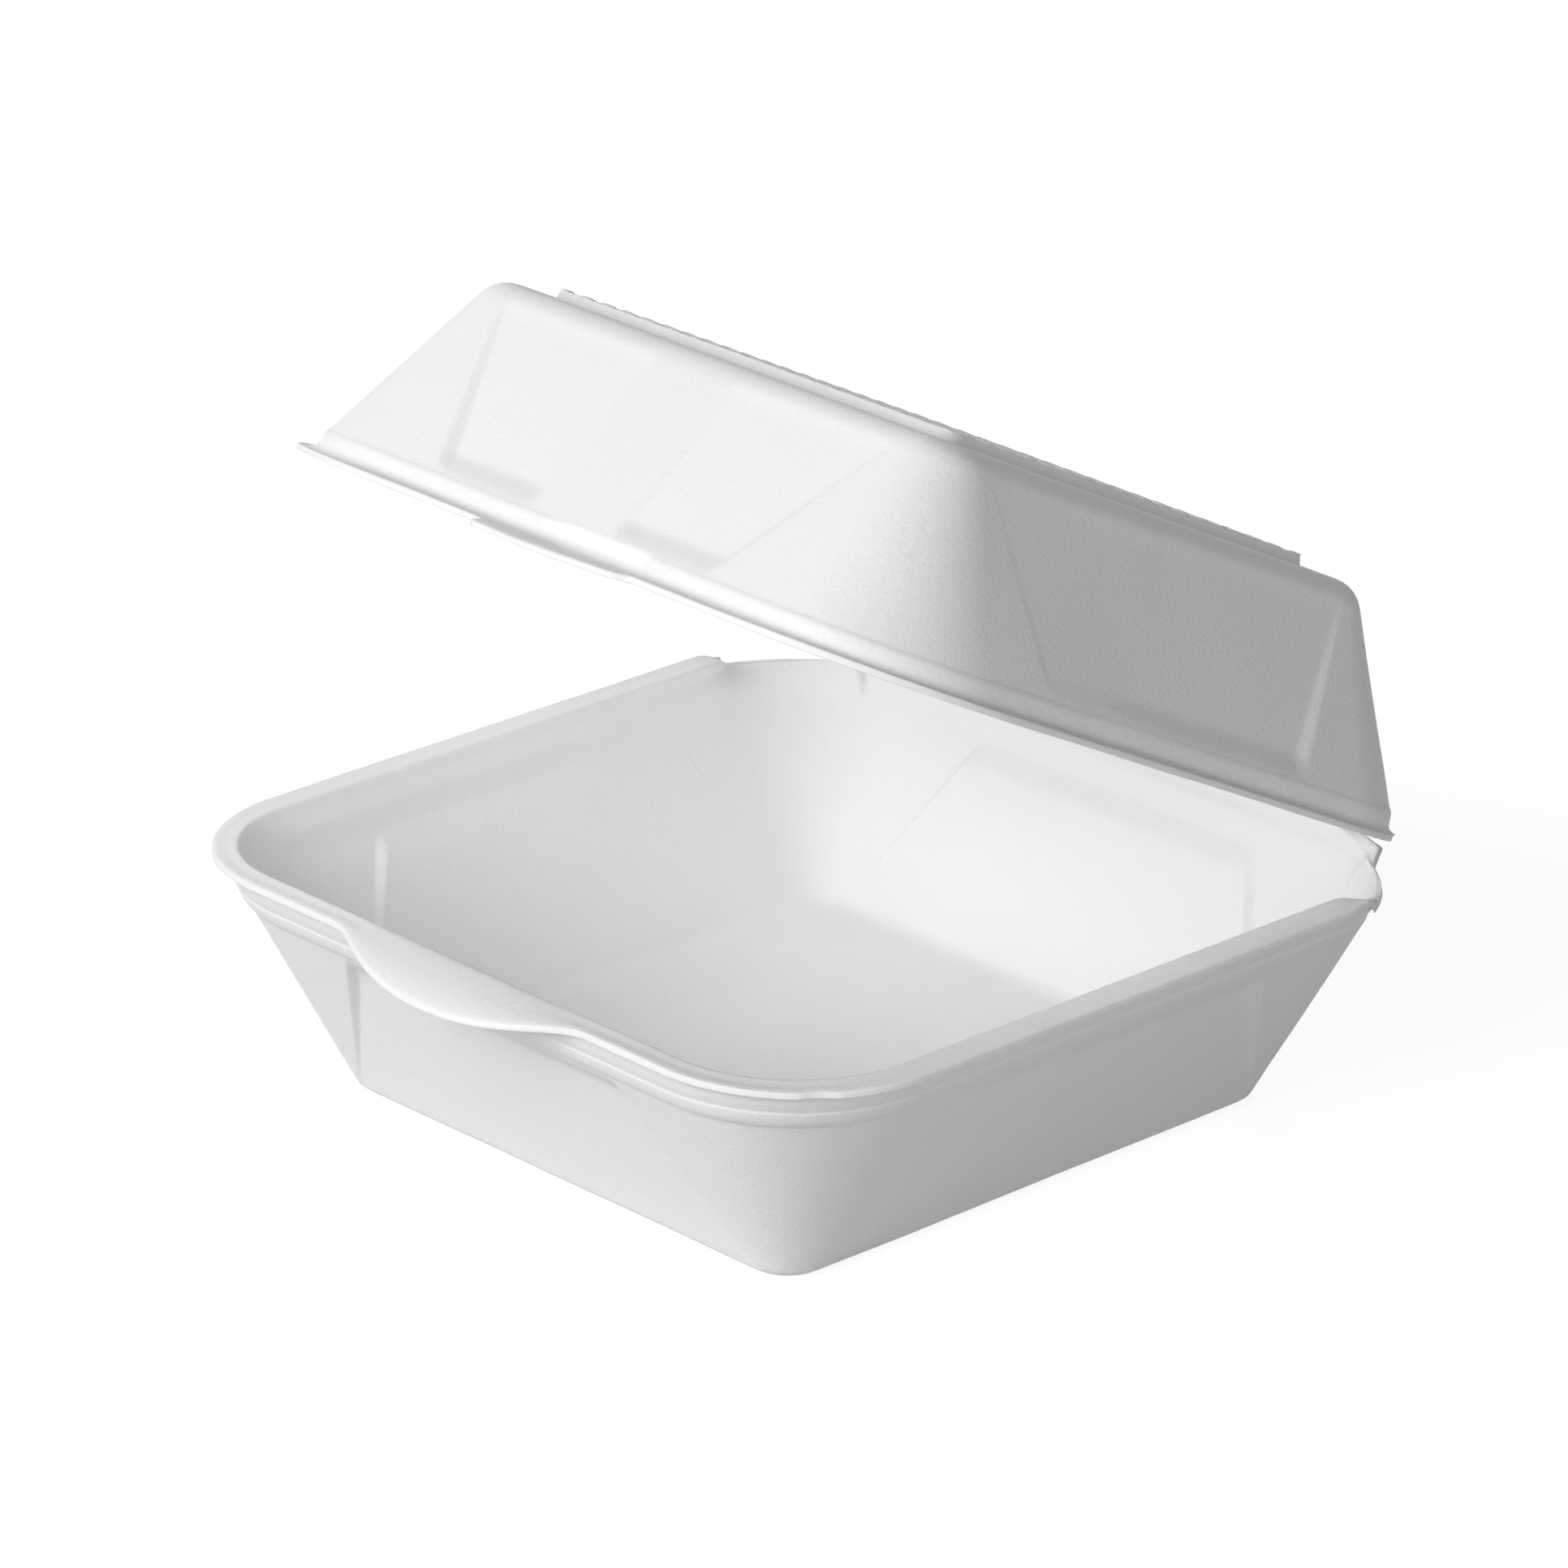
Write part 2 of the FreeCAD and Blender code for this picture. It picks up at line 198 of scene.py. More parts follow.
def tab_curve(tab, x, low_reach=6.0):
    """How far the finger tab stands out at x along the front; a low one is an uneven strip."""
    half, centre, reach, _ = tab
    if reach < low_reach:
        v = (x - centre) / half
        body = np.interp(v, [-1, -0.3, 0.3, 0.85, 1], [0.78, 1.0, 0.85, 0.55, 0.4])
        ends = smooth((v + 1) * half / 0.7) * smooth((1 - v) * half / 1.6)
        return reach * body * ends
    t = np.linspace(0.0, 1.0, 60)
    along = half * ((1 - t) ** 3 + 3 * 0.84 * (1 - t) ** 2 * t + 3 * 0.62 * (1 - t) * t ** 2)
    stand = reach * (3 * 0.06 * (1 - t) ** 2 * t + 3 * (1 - t) * t ** 2 + t ** 3)
    return np.interp(np.abs(x - centre), along[::-1], stand[::-1], right=0.0)


def scoop(x):
    """Finger scoop in the lid's band, over its tab."""
    return smooth((x - scoop_left) / 1.6) * smooth((scoop_right - x) / 2.0)


class Shell:
    """One moulded half as a closed skin of rows by stations."""

    def __init__(self, half, counts):
        self.s = half
        self.counts = counts
        self.mid = half["mid"]
        self.run = half["draft"] * (half["flat"] - half["top"])
        self.thick = foam * math.hypot(1.0, half["draft"])
        self.rows = []

    def half_side(self, k):
        """Half length of the wall on half side k at the rim, corner included."""
        return self.s["y"] if HALVES[k][0][0] else self.s["x"]

    def panel_end(self, k, share):
        """Half length of the pressed-in panel on half side k at a share of the wall's height."""
        base_in, rim_in = self.s[HALVES[k][3]]
        rim_in = rim_in + self.s["shorter"].get(k, 0.0)
        full = self.half_side(k)
        return (full - self.run - base_in) * (1 - share) + (full - rim_in) * share

    def notch(self):
        """Station at which the fold ends on a rear half side."""
        radius = self.s["flange_corner"]
        return 1.0 + math.asin((fold_half - flange_x + radius) / radius) / (math.pi / 4)

    def stations(self, k, share):
        """Positions along half side k: 0..1 on the straight wall, 1..2 round the corner."""
        kind = HALVES[k][3]
        split = self.s["split"]
        straight = self.half_side(k) - self.s["corner"]
        end = self.panel_end(k, share)
        radius = self.s["corner"] - self.run * (1 - share)
        facet, crease = self.s["facet"] * share, self.s["crease"]
        zone = np.linspace(end - facet - crease - end_margin, end + crease + end_margin,
                           end_stations)
        panel_n, wall_n, corner_n = self.counts
        if kind == "front" and split:
            first = np.concatenate([
                np.linspace(0, split - crease - 0.3, 4)[:-1],
                np.linspace(split - crease - end_margin, split + facet + crease + end_margin,
                            end_stations),
            ])
            rest = panel_n - end_stations - 1
            inner = np.concatenate([first, np.linspace(first[-1], zone[0], rest)[1:-1]])
        else:
            inner = np.linspace(0, zone[0], panel_n)[:-1]
        along = np.concatenate([inner, zone])
        at = np.where(along <= straight, along / straight,
                      1 + (along - straight) / max(radius, 1.0) / (math.pi / 4))
        if at[-1] < 1:
            tail = np.concatenate([np.linspace(at[-1], 1.0, wall_n)[1:],
                                   np.linspace(1.0, 2.0, corner_n)[1:]])
        else:
            tail = np.linspace(at[-1], 2.0, wall_n + corner_n - 1)[1:]
        at = np.concatenate([at, tail])
        if kind == "rear" and share > 0.5:
            notch = self.notch()
            j = len(at) - corner_n + int((notch - 1.0) * (corner_n - 1))
            at[j], at[j + 1] = notch - 0.002, notch + 0.002
        return at

    def place(self, k, at, hx, front, back, radius):
        """Points and outward directions of a rounded rectangle at the stations."""
        normal, along = np.array(HALVES[k][0], float), np.array(HALVES[k][1], float)
        if normal[0]:
            out = hx
            reach = back if along[1] > 0 else front
        else:
            out = back if normal[1] > 0 else front
            reach = hx
        straight = np.clip(at, 0, 1) * (reach - radius)
        angle = np.clip(at - 1, 0, 1) * math.pi / 4
        way = np.outer(np.cos(angle), normal) + np.outer(np.sin(angle), along)
        return normal * (out - radius) + np.outer(straight, along) + way * radius, way

    def walls(self, k, at, out, tighter=0.0):
        """Points at a distance out from the walls' line at the rim."""
        x, y = self.s["x"] + out, self.s["y"] + out
        return self.place(k, at, x, y, y, self.s["corner"] + out - tighter)

    def rim(self, k, at, tighter=0.0):
        """Points on the flange's edge, before any lip."""
        return self.place(k, at, flange_x, flange_front + self.mid, flange_back - self.mid,
                          self.s["flange_corner"] - tighter)

    def trimmed(self, p):
        """Points cut off straight along the fold."""
        p[:, 1] = np.minimum(p[:, 1], flange_back - self.mid)
        return p

    def ring(self, share, make):
        """One row round the whole shell; make(k, at) gives its points on half side k."""
        row = []
        for k, (_, _, order, _) in enumerate(HALVES):
            row.append(make(k, self.stations(k, share))[::order][:-1])
        self.rows.append(np.concatenate(row))

    def pressed(self, k, at, share):
        """How deep the panel of half side k is at the stations, as a share of its depth."""
        s = self.s
        straight = self.half_side(k) - s["corner"]
        radius = s["corner"] - self.run * (1 - share)
        along = np.where(at <= 1, at * straight,
                         straight + (at - 1) * math.pi / 4 * max(radius, 1.0))
        end = self.panel_end(k, share)
        span = s["facet"] * share + 2 * s["crease"]
        deep = smooth((end + s["crease"] - along) / span)
        deep = deep + s["score"].get(k, 0.0) * np.exp(-((along - end + 0.1) / groove) ** 2)
        least = s["faint"].get(k, 1.0)
        deep = deep * (least + (1 - least) * smooth((end - along) / fade_run))
        if HALVES[k][3] == "front" and s["split"]:
            deep = deep * smooth((along - s["split"] + s["crease"]) / span)
        return deep

    def wall(self, share, out, h, press=0.0):
        """A row at offset out from the wall line and distance h from the flange face."""
        def make(k, at):
            p, way = self.walls(k, at, out)
            if press:
                p = p - way * (self.s["press"] * press * self.pressed(k, at, share))[:, None]
            return self.trimmed(np.column_stack([p, np.full(len(at), h)]))

        self.ring(share, make)

    def past_ear(self, k, p):
        """How far points lie behind the place where the rim of their side starts to drop."""
        late = right_ear if HALVES[k][0][0] > 0 else 0.0
        return p[:, 1] + self.mid - ear_y - late

    def lowered(self, k, at):
        """Share by which the rim drops to the corner lip at each station."""
        _, along, _, kind = HALVES[k]
        p, _ = self.rim(k, at)
        lid = self.s["body"] == "lid"
        if kind == "rear":
            past_fold = np.abs(p[:, 0]) - fold_half
            share = (past_fold > 0).astype(float)
            return share * (1.0 - smooth(past_fold / 5.0)) if lid else share
        if kind == "front" or lid or along[1] < 0:
            return np.zeros(len(at))
        return smooth(self.past_ear(k, p) / ear_run)

    def opened(self, k, at):
        """As lowered, but rising softly to nothing at the fold, for the inner face."""
        _, along, _, kind = HALVES[k]
        if kind == "front" or self.s["body"] == "lid" or along[1] < 0:
            return self.lowered(k, at)
        p, _ = self.rim(k, at)
        if kind == "rear":
            return smooth((np.abs(p[:, 0]) - fold_half + inner_fold_lead) / inner_fold_run)
        return smooth((self.past_ear(k, p) + inner_ear_lead) / inner_ear_run)

    def tighter(self, k, h):
        """How much tighter the mouth turns at the tray's left front corner, by depth."""
        if self.s["body"] == "tray" and k in LEFT_FRONT:
            return mouth_tight * (1.0 - float(smooth(h / mouth_tight_depth)))
        return 0.0

    def outline(self, k, at):
        """Edge of the flange, drawn in to the lip at the tray's back corners."""
        edge, way = self.rim(k, at, self.s["tight"].get(k, 0.0))
        if self.s["body"] == "lid":
            return edge, way
        low = self.lowered(k, at)[:, None]
        radius = lip_corner - (right_lip if k in RIGHT_REAR else 0.0)
        lip, _ = self.place(k, at, flange_x - lip_inset, flange_front + self.mid,
                            lip_back - lip_inset, radius)
        return edge * (1 - low) + lip * low, way

    def chip(self, k, at):
        """Small chip that wear has left in the tray's rim, beside the front right corner."""
        if self.s["body"] != "tray" or k != CHIPPED:
            return np.zeros(len(at))
        return chip_depth * smooth((chip_end - at) / 0.05) * smooth((at - chip_start) / 0.12)

    def collar(self, out, h, slack, outside):
        """A row of the band, or of the mouth and the inner face.

        At the tray's back corners the rim is only the wall's plain edge, so
        there the rows leave the band and follow the wall, flaring to the lip.
        """
        s = self.s

        def make(k, at):
            low = self.lowered(k, at) if outside else self.opened(k, at)
            p, way = self.walls(k, at, out, 0.0 if outside else self.tighter(k, h))
            if s["body"] == "lid" and HALVES[k][3] == "front" and out > 0:
                dent = scoop(p[:, 0]) * min(1.0, (s["top"] - h) / 2.0) * scoop_depth
                p = p - way * dent[:, None]
            z = np.maximum(h, (s["lip_drop"] + slack) * low)
            if s["body"] == "tray":
                edge, _ = self.outline(k, at)
                plain, _ = self.walls(k, at, 0.0 if outside else -self.thick)
                rise = np.clip((s["top"] - z) / (s["top"] - s["lip_drop"]), 0, 1)[:, None] ** 1.7
                rise = rise * (1.0 if outside else 0.86)
                flared = plain * (1 - rise) + edge * rise
                p = p * (1 - low[:, None]) + flared * low[:, None]
            return self.trimmed(np.column_stack([p, z]))

        self.ring(1.0, make)

    def flange(self, share, h, root, outside):
        """A row of the flange at a share of the way from the root offset to the edge."""
        s = self.s
        tray = s["body"] == "tray"
        _, _, reach, droop = s["tab"]

        def make(k, at):
            edge, way = self.outline(k, at)
            start, _ = self.walls(k, at, root, 0.0 if outside else self.tighter(k, 0.0))
            start = self.trimmed(start)
            low = self.lowered(k, at)
            if not outside:
                low = low * share + self.opened(k, at) * (1 - share)
            z = h + s["lip_drop"] * low
            part = np.full(len(at), share)
            if tray:
                z = z + left_sag * share * share * smooth((-edge[:, 0] - 52.0) / 22.0) * (1 - low)
                z = z + low * (1 - share) * (0.0 if outside else 0.25)
                part = share * (1 - low) + (0.9 + 0.1 * share) * low
            edge = edge - way * self.chip(k, at)[:, None]
            stand = np.zeros(len(at))
            if HALVES[k][3] == "front":
                stand = tab_curve(s["tab"], edge[:, 0])
            plain = edge[:, 1].copy()
            edge[:, 1] -= stand
            p = start + (edge - start) * part[:, None]
            past = np.maximum(plain + 2.0 - p[:, 1], 0.0)
            fall = droop * (past / (reach + 3.0)) ** 2 * (stand > 0)
            return np.column_stack([p, z + (fall if tray else -fall)])

        self.ring(1.0, make)

    def level(self, hx, hy, radius, h, scale=1.0):
        """A flat row of a plain rounded rectangle, for the base, the floor and the top."""
        def make(k, at):
            p, _ = self.place(k, at, hx, hy, hy, radius)
            return np.column_stack([p * scale, np.full(len(at), h)])

        self.ring(0.0, make)


def round_rows(out, h, draft, radius, steps):
    """Rows round a soft edge between a level face and a wall; heights grow away from h."""
    turn = math.pi / 2 - math.atan(draft)
    reach = radius * math.tan(turn / 2)
    rows = []
    for k in range(steps + 1):
        a = turn * k / steps
        rows.append((out - reach + radius * math.sin(a), h - radius * (1 - math.cos(a))))
    return rows


def wall_shares(first):
    """Shares of a wall's height for its rows, closer together near the rim."""
    return np.concatenate([np.linspace(first, 0.84, 11), np.linspace(0.86, 0.992, 10)])


def closed_side(s):
    """Half sizes at which the leaning walls would meet the closed side."""
    run = s["draft"] * (s["flat"] - s["top"])
    return s["x"] - run, s["y"] - run


def lid_top(sh):
    """Outside of the lid's top: the raised field, its edge and the dish round it."""
    base_x, base_y = closed_side(LID)
    x, y = base_x - field_inset, base_y - field_inset
    for scale in (0.004, 0.3, 0.6, 0.85, 0.96):
        sh.level(x - 0.4, y - 0.4, field_corner, field_top, scale)
    for out, h in FIELD_EDGE:
        sh.level(x + out, y + out, field_corner + max(out, -0.5), h)
    x, y = base_x - dish_inset, base_y - dish_inset
    for out, h in DISH_EDGE:
        sh.level(x + out, y + out, dish_corner + (out - DISH_EDGE[0][0]) * 0.6, h)


def floor_rows(sh, s, start):
    """Inside of the closed side, flat in the tray and with the field's hollow in the lid."""
    x, y, radius = s["x"] + start, s["y"] + start, max(s["corner"] + start, 1.0)
    low = s["flat"] - floor_foam
    if s["body"] == "lid":
        base_x, base_y = closed_side(s)
        x, y = base_x - field_inset, base_y - field_inset
        radius = field_corner
        for out, rise in ((0.0, 0.0), (-0.6, 0.1), (-1.1, 1.6), (-1.6, recess_rise)):
            sh.level(x + out, y + out, radius, low + rise)
        x, y = base_x - recess_inset, base_y - recess_inset
        low += recess_rise
    for scale in (0.96, 0.8, 0.5, 0.2, 0.004):
        sh.level(x, y, radius, low, scale)


def moulded_rows(s, counts):
    """Rows of one half, from the middle of its closed side over the rim and back inside."""
    sh = Shell(s, counts)
    tall = s["flat"] - s["top"]
    run, thick = sh.run, sh.thick

    def panelled(shares, inset):
        for share in shares:
            gap = (1 - share) * tall
            press = share * float(smooth((gap - 0.15) / fade_height))
            sh.wall(share, -run * (1 - share) - inset, s["flat"] - tall * share, press)

    # closed side, outside
    edge = round_rows(-run, s["flat"], s["draft"], s["edge_round"], 5)
    if s["body"] == "lid":
        lid_top(sh)
    else:
        start = edge[0][0]
        for scale in (0.004, 0.3, 0.6, 0.85, 0.96):
            sh.level(s["x"] + start, s["y"] + start, s["corner"] + start, s["flat"], scale)
    for out, h in edge:
        sh.wall(max((out + run) / run, 0.0), out, h)

    # outer face, band and flange
    panelled(wall_shares((edge[-1][0] + run) / run + 0.02), 0.0)
    for k, (out, h) in enumerate(s["band"]):
        slack = flange_foam + 0.06 * (len(s["band"]) - k)
        sh.collar(out, h, slack, True)
    for share, h in s["edge"]:
        sh.flange(share, h, s["neck"], True)
    for share, h in s["face"]:
        sh.flange(share, h, s["mouth"], False)

    # mouth, inner face and floor
    for k, (out, h) in enumerate(s["inside"]):
        sh.collar(out, h, 0.25 + 0.06 * k, False)
    inner = round_rows(-run + s["draft"] * floor_foam - thick, s["flat"] - floor_foam,
                       s["draft"], s["inner_round"], 4)
    panelled(wall_shares((inner[-1][0] + thick + run) / run + 0.02)[::-1], thick)
    for out, h in inner[::-1]:
        sh.wall(max((out + thick + run) / run, 0.0), out, h)
    floor_rows(sh, s, inner[0][0])
    return np.array(sh.rows)


def put_in_scene(name, data):
    """A new object at the origin of the scene."""
    ob =bpy.data.objects.new(name, data)
    bpy.context.scene.collection.objects.link(ob)
    return ob


def skin_object(name, rows):
    """Closed skin through rows of points, in millimetres, with both ends capped."""
    n_rows, n = rows.shape[:2]
    i = np.arange(n)
    j = (i + 1) % n
    faces = []
    for r in range(n_rows - 1):
        quads = np.column_stack([r * n + i, r * n + j, (r + 1) * n + j, (r + 1) * n + i])
        faces += [tuple(quad) for quad in quads.tolist()]
    faces.append(tuple(range(n))[::-1])
    faces.append(tuple(range((n_rows - 1) * n, n_rows * n)))
    me = bpy.data.meshes.new(name)
    me.from_pydata((rows.reshape(-1, 3) * MM).tolist(), [], faces)
    bm = bmesh.new()
    bm.from_mesh(me)
    bmesh.ops.remove_doubles(bm, verts=bm.verts, dist=2e-6)
    bmesh.ops.dissolve_degenerate(bm, edges=bm.edges, dist=1e-7)
    bmesh.ops.recalc_face_normals(bm, faces=bm.faces)
    bm.to_mesh(me)
    bm.free()
    me.polygons.foreach_set("use_smooth", [True] * len(me.polygons))
    return put_in_scene(name, me)


def shut_to_open(p):
    """Lid points in their shut place, in millimetres, swung to the ajar place."""
    a = math.radians(lid_open)
    y, z = p[..., 1] - hinge_y, p[..., 2] - mid_plane
    p[..., 1] = hinge_y + y * math.cos(a) + z * math.sin(a)
    p[..., 2] = mid_plane - y * math.sin(a) + z * math.cos(a)
    return p


def node(tree, kind, x=0, y=0, inputs=None, **settings):
    """A node at x, y, with its settings and the values of its inputs."""
    n = tree.nodes.new(kind)
    n.location = (x, y)
    for key, value in settings.items():
        setattr(n, key, value)
    for key, value in (inputs or {}).items():
        n.inputs[key].default_value = value
    return n


def wire(tree, start, end):
    """Joins an output socket, or (node, output), to (node, input)."""
    if isinstance(start, tuple):
        start = start[0].outputs[start[1]]
    tree.links.new(start, end[0].inputs[end[1]])


def math_node(tree, op, a, b=0.0):
    """The result of a sum on one or two sockets or numbers."""
    n = node(tree, "ShaderNodeMath", operation=op)
    for k, value in enumerate((a, b)):
        if isinstance(value, (int, float)):
            n.inputs[k].default_value = value
        else:
            wire(tree, value, (n, k))
    return n.outputs[0]


def empty_material(name):
    """A material and its node tree, without nodes."""
    mat =bpy.data.materials.new(name)
    mat.use_nodes = True
    mat.node_tree.nodes.clear()
    return mat, mat.node_tree


def drawn_wrinkles(t, co, at, reach, turn):
    """Height of the stretch wrinkles where the sheet was drawn round one corner."""
    near = node(t, "ShaderNodeVectorMath", -900, -700, {1: at}, operation="DISTANCE")
    zone = node(t, "ShaderNodeMapRange", -600, -700, {
        "From Min": reach, "From Max": reach * 0.25}, interpolation_type="SMOOTHSTEP")
    tilt = node(t, "ShaderNodeMapping", -1150, -950, {
        "Rotation": turn, "Scale": (1.0, 0.22, 1.0)})
    lines = node(t, "ShaderNodeTexNoise", -900, -950, {
        "Scale": 850, "Detail": 1.5, "Distortion": 0.6})
    wire(t, (co, "Object"), (near, 0))
    wire(t, (near, "Value"), (zone, "Value"))
    wire(t, (co, "Object"), (tilt, "Vector"))
    wire(t, (tilt, 0), (lines, "Vector"))
    creases = math_node(t, "MULTIPLY", lines.outputs["Fac"], zone.outputs["Result"])
    return math_node(t, "MULTIPLY", creases, 3.2)


def foam_material(name, wrinkled=None):
    """Moulded polystyrene foam: smooth skin, pebble grain, faint stretch wrinkles."""
    mat, t = empty_material(name)
    out = node(t, "ShaderNodeOutputMaterial", 900)
    # light soaks a few millimetres into the foam and shines through its thin walls
    skin = node(t, "ShaderNodeBsdfPrincipled", 600, 0, {
        "Roughness": 0.5, "IOR": 1.35, "Specular IOR Level": 0.3,
        "Subsurface Weight": 0.1, "Subsurface Radius": (1.0, 1.0, 1.0),
        "Subsurface Scale": 0.006})
    wire(t, (skin, 0), (out, 0))

    # bead cells pressed flat, with finer grain between them
    co = node(t, "ShaderNodeTexCoord", -1400)
    cells = node(t, "ShaderNodeTexVoronoi", -900, 200, {"Scale": 1100}, feature="F1")
    grain = node(t, "ShaderNodeTexNoise", -900, -100, {"Scale": 1500, "Detail": 2})
    cloud = node(t, "ShaderNodeTexNoise", -900, -400, {"Scale": 45, "Detail": 3})
    for texture in (cells, grain, cloud):
        wire(t, (co, "Object"), (texture, "Vector"))
    height = math_node(t, "ADD", math_node(t, "MULTIPLY", cells.outputs["Distance"], 0.8),
                       math_node(t, "MULTIPLY", grain.outputs["Fac"], 0.7))
    if wrinkled:
        height = math_node(t, "ADD", height, drawn_wrinkles(t, co, **wrinkled))
    bump = node(t, "ShaderNodeBump", 300, -200, {"Strength": 0.8, "Distance": 0.00007})
    wire(t, height, (bump, "Height"))
    wire(t, (bump, "Normal"), (skin, "Normal"))

    # colour: white, very slightly cloudy
    tone = node(t, "ShaderNodeValToRGB", -300, -400)
    tone.color_ramp.elements[0].position = 0.3
    tone.color_ramp.elements[0].color = (0.963, 0.964, 0.965, 1)
    tone.color_ramp.elements[1].position = 0.7
    tone.color_ramp.elements[1].color = (0.976, 0.976, 0.976, 1)
    wire(t, (cloud, "Fac"), (tone, 0))
    wire(t, (tone, 0), (skin, "Base Color"))
    return mat


def tree_with(name, sizes):
    """Empty geometry tree with a geometry input and named sizes."""
    t = bpy.data.node_groups.new(name, "GeometryNodeTree")
    t.interface.new_socket("Geometry", in_out="INPUT", socket_type="NodeSocketGeometry")
    ids = {}
    for key, value in sizes.items():
        sock = t.interface.new_socket(key, in_out="INPUT", socket_type="NodeSocketFloat")
        sock.default_value = value
        ids[key] = sock.identifier
    t.interface.new_socket("Geometry", in_out="OUTPUT", socket_type="NodeSocketGeometry")
    return t, ids


def finish_tree(t, last, material):
    """Makes the copies real, paints them and ends the tree."""
    real = node(t, "GeometryNodeRealizeInstances", 900)
    paint = node(t, "GeometryNodeSetMaterial", 1100, 0, {"Material": material})
    out = node(t, "NodeGroupOutput", 1300)
    wire(t, (last, 0), (real, 0))
    wire(t, (real, 0), (paint, 0))
    wire(t, (paint, 0), (out, 0))


def grow(ob, tree, ids, values):
    """Runs a geometry tree on an object and keeps the result as its plain mesh."""
    mod = ob.modifiers.new(tree.name, "NODES")
    mod.node_group = tree
    for key, value in values.items():
        mod[ids[key]] = value
    deps = bpy.context.evaluated_depsgraph_get()
    me = bpy.data.meshes.new_from_object(ob.evaluated_get(deps), depsgraph=deps)
    ob.modifiers.remove(mod)
    old = ob.data
    ob.data = me
    bpy.data.meshes.remove(old)


def skin_tree(material):
    """Slow waves in the moulded sheet: the surface moves along its normal by smooth noise."""
    t, ids = tree_with("foam_skin_waves", {"Wave length": 0.02, "Wave height": 0.0001, "Seed": 3.0})
    sizes = node(t, "NodeGroupInput", -900)
    here = node(t, "GeometryNodeInputPosition", -900, -300)
    normal = node(t, "GeometryNodeInputNormal", -900, -450)
    noise = node(t, "ShaderNodeTexNoise", -500, -300, {"Detail": 1.0}, noise_dimensions="4D")
    wire(t, (here, 0), (noise, "Vector"))
    wire(t, math_node(t, "DIVIDE", 1.0, sizes.outputs["Wave length"]), (noise, "Scale"))
    wire(t, (sizes, "Seed"), (noise, "W"))
    lift = math_node(t, "MULTIPLY", math_node(t, "SUBTRACT", noise.outputs[0], 0.5),
                     sizes.outputs["Wave height"])
    move = node(t, "ShaderNodeVectorMath", 0, -300, operation="SCALE")
    wire(t, (normal, 0), (move, 0))
    wire(t, lift, (move, "Scale"))
    put = node(t, "GeometryNodeSetPosition", 300)
    wire(t, (sizes, "Geometry"), (put, "Geometry"))
    wire(t, (move, 0), (put, "Offset"))
    finish_tree(t, put, material)
    return t, ids


def knob_tree(material):
    """Rows of low rounded knobs over a rectangular field."""
    t, ids = tree_with("top_knobs", {"Pitch": 0.005, "Knob radius": 0.0012, "Knob height": 0.0003,
                                     "Field X": 0.09, "Field Y": 0.09})
    sizes = node(t, "NodeGroupInput", -1200)
    grid = node(t, "GeometryNodeMeshGrid", -500)
    for axis in "XY":
        field = sizes.outputs["Field " + axis]
        gaps = math_node(t, "DIVIDE", field, sizes.outputs["Pitch"])
        rows = math_node(t, "ADD", math_node(t, "FLOOR", gaps), 1.0)
        wire(t, field, (grid, "Size " + axis))
        wire(t, rows, (grid, "Vertices " + axis))
    ball = node(t, "GeometryNodeMeshUVSphere", -500, -300, {"Segments": 10, "Rings": 6})
    wire(t, (sizes, "Knob radius"), (ball, "Radius"))
    flat = node(t, "ShaderNodeCombineXYZ", -300, -500, {0: 1.0, 1: 1.0})
    wire(t, math_node(t, "DIVIDE", sizes.outputs["Knob height"], sizes.outputs["Knob radius"]),
         (flat, 2))
    round_off = node(t, "GeometryNodeSetShadeSmooth", -200, -300)
    wire(t, (ball, 0), (round_off, 0))
    copies = node(t, "GeometryNodeInstanceOnPoints", 100)
    wire(t, (grid, 0), (copies, "Points"))
    wire(t, (round_off, 0), (copies, "Instance"))
    wire(t, (flat, 0), (copies, "Scale"))
    finish_tree(t, copies, material)
    return t, ids


def moulded_half(s, material, counts):
    """Tray or lid at its place in the photo, with slow waves in its skin."""
    rows = moulded_rows(s, counts)
    rows[..., 1] += s["mid"]
    if s["body"] == "tray":
        rows[..., 2] = tray_h - rows[..., 2]
    else:
        rows[..., 2] = mid_plane + play / 2 + rows[..., 2] * dome
        rows = shut_to_open(rows)
    ob = skin_object(s["name"], rows)
    ob.data.materials.append(material)
    waves, ids = skin_tree(material)
    grow(ob, waves, ids, {"Wave length": 0.022, "Wave height": 0.00035, "Seed": 2.0})
    ob.data.name = s["name"]
    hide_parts(s["body"])
    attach(ob, s["body"])


def top_knobs(material):
    """Knobs on the lid's raised field."""
    base_x, base_y = closed_side(LID)
    knobs = put_in_scene("top_knobs", bpy.data.meshes.new("top_knobs"))
    tree, ids = knob_tree(material)
    grow(knobs, tree, ids, {
        "Field X": (2 * (base_x - field_inset) - 2 * knob_margin) * MM,
        "Field Y": (2 * (base_y - field_inset) - 2 * knob_margin) * MM,
        "Knob height": knob_height * MM,
    })
    co = np.empty(len(knobs.data.vertices) * 3)
    knobs.data.vertices.foreach_get("co", co)
    middle = np.array([0, LID["mid"], mid_plane + play / 2 + field_top * dome])
    p = shut_to_open(co.reshape(-1, 3) / MM + middle)
    knobs.data.vertices.foreach_set("co", (p * MM).ravel())
    knobs.data.update()
    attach(knobs, "lid")


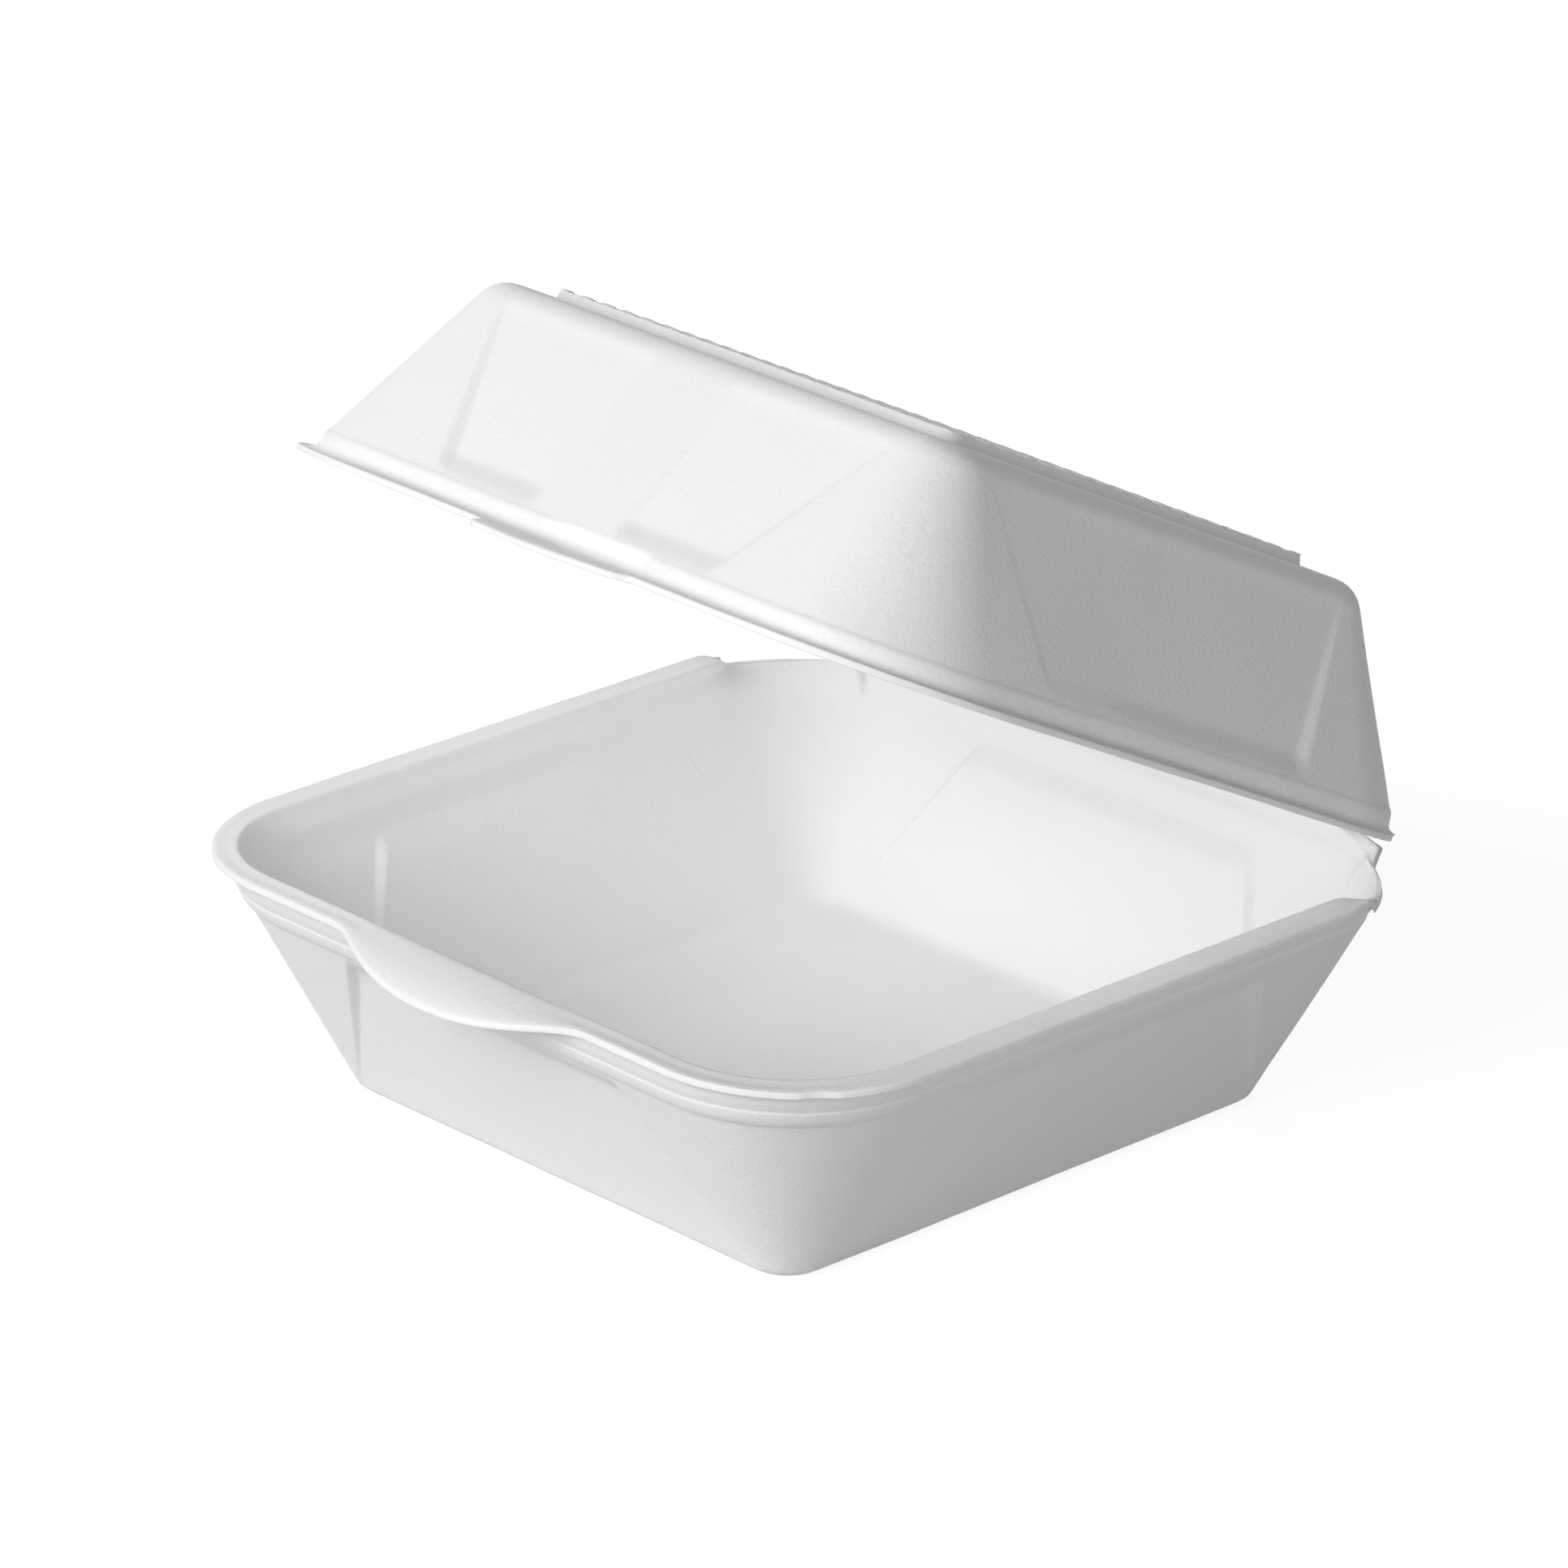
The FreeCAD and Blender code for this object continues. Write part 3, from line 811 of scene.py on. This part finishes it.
def fold_web(material, steps=14):
    """Thin pressed web that joins the halves behind the fold, drawn bent to the lid's opening."""
    start = math.radians(-97.0)
    end = math.radians(97.0 - lid_open)
    angles = [start + (end - start) * k / steps for k in range(steps + 1)]
    ring = [(web_outer * math.cos(a), web_outer * math.sin(a)) for a in angles]
    ring += [(web_inner * math.cos(a), web_inner * math.sin(a)) for a in angles[::-1]]
    half = fold_half - web_inset
    rows = []
    for x in np.linspace(-half, half, 61):
        pinch = 1.0 - 0.25 * abs(x / half) ** 6
        rows.append([(x, flange_back + y * pinch, mid_plane + z) for y, z in ring])
    ob = skin_object("fold_web", np.array(rows))
    ob.data.materials.append(material)
    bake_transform(ob)


def seen_directly(tree):
    """1 for the rays that show the backdrop itself, and 0 for the light it would throw."""
    path = node(tree, "ShaderNodeLightPath", -400, 200)
    seen = math_node(tree, "MAXIMUM", path.outputs["Is Camera Ray"], path.outputs["Is Glossy Ray"])
    return math_node(tree, "MAXIMUM", seen, path.outputs["Is Transmission Ray"])


def studio_floor():
    """White floor that keeps the container's shadow."""
    mat, t = empty_material("studio_floor")
    out = node(t, "ShaderNodeOutputMaterial", 600)
    both = node(t, "ShaderNodeAddShader", 400)
    matt = node(t, "ShaderNodeBsdfDiffuse", 100, 0, {0: (0.4, 0.4, 0.4, 1)})
    glow = node(t, "ShaderNodeEmission", 100, -200)
    wire(t, math_node(t, "MULTIPLY", seen_directly(t), 0.85), (glow, "Strength"))
    wire(t, (matt, 0), (both, 0))
    wire(t, (glow, 0), (both, 1))
    wire(t, (both, 0), (out, 0))
    bpy.ops.mesh.primitive_plane_add(size=12, location=(0, 0, -0.0003))
    floor = bpy.context.object
    floor.name = "floor"
    floor.data.materials.append(mat)


def studio_world():
    """White backdrop over a faint even light."""
    world = bpy.data.worlds.new("studio")
    bpy.context.scene.world = world
    world.use_nodes = True
    t = world.node_tree
    t.nodes.clear()
    out = node(t, "ShaderNodeOutputWorld", 400)
    pick = node(t, "ShaderNodeMixShader", 200)
    soft = node(t, "ShaderNodeBackground", 0, 0, {0: (1, 1, 1, 1), 1: 0.05})
    white = node(t, "ShaderNodeBackground", 0, -200, {0: (1, 1, 1, 1), 1: 1.0})
    wire(t, seen_directly(t), (pick, 0))
    wire(t, (soft, 0), (pick, 1))
    wire(t, (white, 0), (pick, 2))
    wire(t, (pick, 0), (out, 0))


def towards(azimuth, elevation):
    """Unit vector from the container, with azimuth from the front towards the right."""
    az, el = math.radians(azimuth), math.radians(elevation)
    return Vector((math.sin(az) * math.cos(el), -math.cos(az) * math.cos(el), math.sin(el)))


def lamp(name, azimuth, elevation, power):
    """Square soft light aimed at the container from one side; sizes in metres."""
    way = towards(azimuth, elevation)
    light = bpy.data.lights.new(name, "AREA")
    light.shape = "SQUARE"
    light.size = 1.0
    light.energy = power
    ob = put_in_scene(name, light)
    ob.location = way * 1.5 + Vector((0, 0, 0.05))
    ob.rotation_mode = "QUATERNION"
    ob.rotation_quaternion = (-way).to_track_quat("-Z", "Y")


def photo_camera():
    """Camera at the photograph's angle."""
    azimuth, elevation, roll = 45.612, 22.27, 1.135
    distance = 1431.05
    focal_px, photo_px, sensor = 10703.71, 1932, 36.0
    aim_right, aim_up, aim_y = -4.829, 49.517, 0.7
    az, tilt = math.radians(azimuth), math.radians(roll)
    back = towards(azimuth, elevation)
    right = Vector((math.cos(az), math.sin(az), 0))
    up = back.cross(right)
    cam_right = right * math.cos(tilt) + up * math.sin(tilt)
    cam_up = up * math.cos(tilt) - right * math.sin(tilt)
    target = right * aim_right + up * aim_up + Vector((0, aim_y, 0))
    place = (target + back * distance) * MM
    data = bpy.data.cameras.new("camera")
    data.sensor_width = sensor
    data.lens = focal_px / photo_px * sensor
    data.clip_start, data.clip_end = 0.1, 20
    cam = put_in_scene("camera", data)
    cam.matrix_world = Matrix((
        (cam_right.x, cam_up.x, back.x, place.x),
        (cam_right.y, cam_up.y, back.y, place.y),
        (cam_right.z, cam_up.z, back.z, place.z),
        (0, 0, 0, 1),
    ))
    bpy.context.scene.camera = cam
    bpy.context.scene.view_settings.view_transform = "Standard"


# The container
tray_foam = foam_material("white_foam")
lid_foam = foam_material("white_foam_drawn", dict(
    at=(0.0600, -0.0330, 0.1216), reach=0.015, turn=(0.9, 0.5, 0.4)))
counts = ((26, 10, 26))
moulded_half(TRAY, tray_foam, counts)
moulded_half(LID, lid_foam, counts)
top_knobs(lid_foam)
fold_web(tray_foam)

# The studio
studio_floor()
studio_world()
lamp("back_left", -120, 30, 5.4)
lamp("front_left", -30, 18, 6.5)
lamp("front", 0, 30, 12.8)
lamp("right_front", 60, 10, 7.6)
lamp("right", 90, 10, 1.6)
photo_camera()
